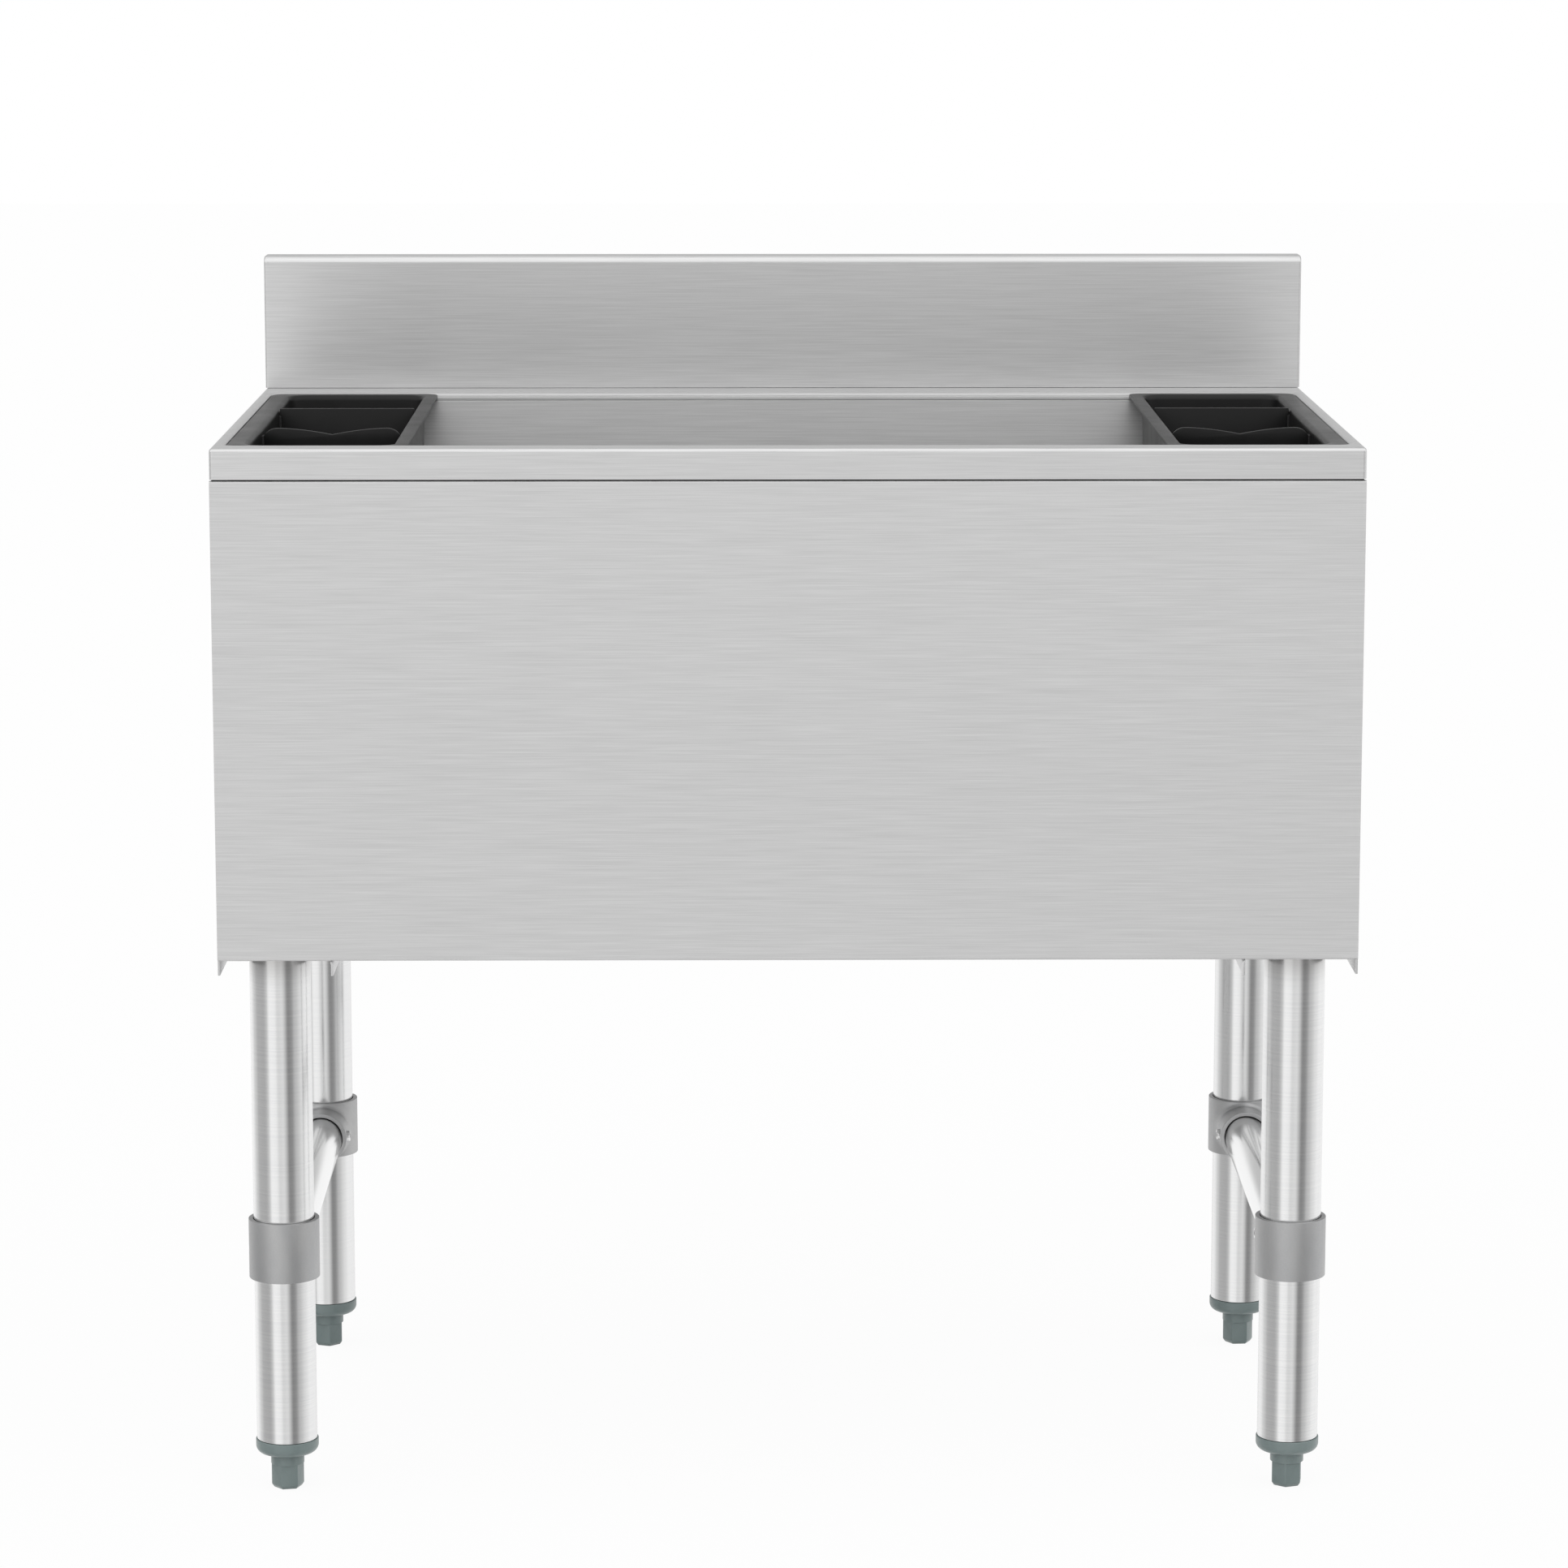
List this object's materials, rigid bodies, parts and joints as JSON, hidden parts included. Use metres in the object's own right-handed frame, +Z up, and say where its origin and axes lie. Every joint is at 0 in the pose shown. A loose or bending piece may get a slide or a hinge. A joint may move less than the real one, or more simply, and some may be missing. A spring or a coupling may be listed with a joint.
{
  "type": "underbar ice bin",
  "caption": "Stainless underbar ice bin with backsplash, drained tub, lift-out bottle wells with dividers, and braced tube legs on levelling feet.",
  "frame": {"origin": "floor level, at the middle of the bin's width and depth", "axes": "+X to the bin's right-hand side as seen from the front, +Y to the backsplash, +Z up"},
  "size_m": [0.762, 0.4572, 0.8172],
  "materials": {
    "brushed_sheet": "fine brushed stainless sheet",
    "satin_tube": "satin stainless tube",
    "cast_connector": "satin die casting",
    "set_screw": "bright",
    "foot_plastic": "grey-green moulded plastic",
    "well_plastic": "black moulded plastic",
    "foam": "rigid foam",
    "gasket_rubber": "matt",
    "locknut": "turned"
  },
  "bodies": {
    "bin": {"back_panel": "brushed_sheet", "backsplash": "brushed_sheet", "brace_screw_back_left": "set_screw", "brace_screw_back_right": "set_screw", "brace_screw_front_left": "set_screw", "brace_screw_front_right": "set_screw", "collar_screw_back_left": "set_screw", "collar_screw_back_right": "set_screw", "collar_screw_front_left": "set_screw", "collar_screw_front_right": "set_screw", "drain_body": "brushed_sheet", "drain_gasket": "gasket_rubber", "drain_locknut": "locknut", "drain_strainer": "brushed_sheet", "floor_panel": "brushed_sheet", "foot_cup_back_left": "foot_plastic", "foot_cup_back_right": "foot_plastic", "foot_cup_front_left": "foot_plastic", "foot_cup_front_right": "foot_plastic", "front_panel": "brushed_sheet", "ice_tub": "brushed_sheet", "insulation": "foam", "left_brace": "satin_tube", "left_leg_channel": "brushed_sheet", "left_panel": "brushed_sheet", "leg_back_left": "satin_tube", "leg_back_right": "satin_tube", "leg_front_left": "satin_tube", "leg_front_right": "satin_tube", "leg_socket_back_left": "brushed_sheet", "leg_socket_back_right": "brushed_sheet", "leg_socket_front_left": "brushed_sheet", "leg_socket_front_right": "brushed_sheet", "leg_tee_back_left": "cast_connector", "leg_tee_back_right": "cast_connector", "leg_tee_front_left": "cast_connector", "leg_tee_front_right": "cast_connector", "right_brace": "satin_tube", "right_leg_channel": "brushed_sheet", "right_panel": "brushed_sheet", "top_deck": "brushed_sheet"},
    "front_left_foot": {"foot_front_left": "foot_plastic"},
    "front_right_foot": {"foot_front_right": "foot_plastic"},
    "back_left_foot": {"foot_back_left": "foot_plastic"},
    "back_right_foot": {"foot_back_right": "foot_plastic"},
    "left_well": {"left_bottle_well": "well_plastic"},
    "left_flat_divider_body": {"left_flat_divider": "well_plastic"},
    "left_wavy_divider_body": {"left_wavy_divider": "well_plastic"},
    "right_well": {"right_bottle_well": "well_plastic"},
    "right_flat_divider_body": {"right_flat_divider": "well_plastic"},
    "right_wavy_divider_body": {"right_wavy_divider": "well_plastic"}
  },
  "joints": [
    {"name": "front_left_foot_level", "type": "slide", "parent": "bin", "child": "front_left_foot", "axis": [0, 0, -1], "range_m": [0, 0.025]},
    {"name": "front_right_foot_level", "type": "slide", "parent": "bin", "child": "front_right_foot", "axis": [0, 0, -1], "range_m": [0, 0.025]},
    {"name": "back_left_foot_level", "type": "slide", "parent": "bin", "child": "back_left_foot", "axis": [0, 0, -1], "range_m": [0, 0.025]},
    {"name": "back_right_foot_level", "type": "slide", "parent": "bin", "child": "back_right_foot", "axis": [0, 0, -1], "range_m": [0, 0.025]},
    {"name": "left_well_lift", "type": "slide", "parent": "bin", "child": "left_well", "axis": [0, 0, 1], "range_m": [0, 0.25]},
    {"name": "left_flat_divider_lift", "type": "slide", "parent": "left_well", "child": "left_flat_divider_body", "axis": [0, 0, 1], "range_m": [0, 0.2]},
    {"name": "left_wavy_divider_lift", "type": "slide", "parent": "left_well", "child": "left_wavy_divider_body", "axis": [0, 0, 1], "range_m": [0, 0.2]},
    {"name": "right_well_lift", "type": "slide", "parent": "bin", "child": "right_well", "axis": [0, 0, 1], "range_m": [0, 0.25]},
    {"name": "right_flat_divider_lift", "type": "slide", "parent": "right_well", "child": "right_flat_divider_body", "axis": [0, 0, 1], "range_m": [0, 0.2]},
    {"name": "right_wavy_divider_lift", "type": "slide", "parent": "right_well", "child": "right_wavy_divider_body", "axis": [0, 0, 1], "range_m": [0, 0.2]}
  ]
}
